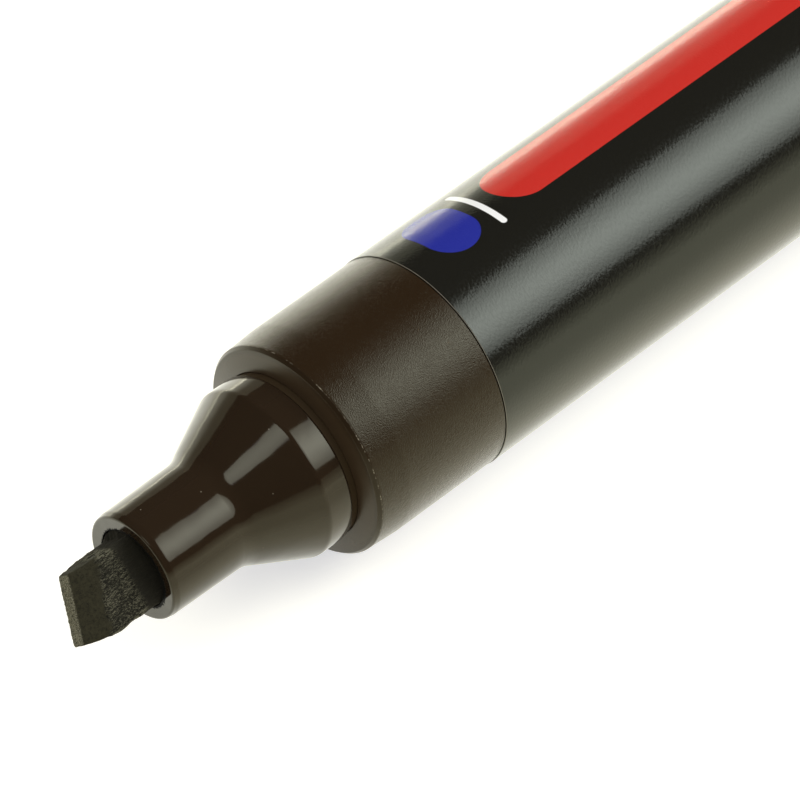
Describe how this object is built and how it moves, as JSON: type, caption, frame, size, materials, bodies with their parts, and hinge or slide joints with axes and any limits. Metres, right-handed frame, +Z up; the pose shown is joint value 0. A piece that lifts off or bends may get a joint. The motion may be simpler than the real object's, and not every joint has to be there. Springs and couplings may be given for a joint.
{
  "type": "permanent marker",
  "caption": "Permanent marker with an oblique felt chisel nib, glossy stepped nose, matte grip collar, round lacquered barrel and a clip cap posted on its tail.",
  "frame": {"origin": "the point on the ground under the middle of the marker's whole length, with the marker lying on its side and its cap posted", "axes": "+X along the marker from the nib to the cap's closed end, +Z up through the pocket clip"},
  "size_m": [0.1566, 0.02, 0.0228],
  "materials": {
    "felt": "matte ink-soaked felt",
    "gloss_plastic": "gloss",
    "matte_plastic": "satin",
    "lacquer": "black lacquer, gloss",
    "fibre": "matte fibre",
    "film": "gloss",
    "plug_plastic": "gloss",
    "cap_plastic": "satin",
    "liner_plastic": "satin"
  },
  "bodies": {
    "marker": {"chisel_nib": "felt", "nose_cone": "gloss_plastic", "grip_collar": "matte_plastic", "barrel_tube": "lacquer", "ink_reservoir": "fibre", "reservoir_wrap": "film", "tail_plug": "plug_plastic"},
    "cap": {"cap_shell": "cap_plastic", "cap_liner": "liner_plastic"}
  },
  "joints": [
    {"name": "cap_pull", "type": "slide", "parent": "marker", "child": "cap", "axis": [1, 0, 0], "range_m": [0, 0.045]}
  ]
}
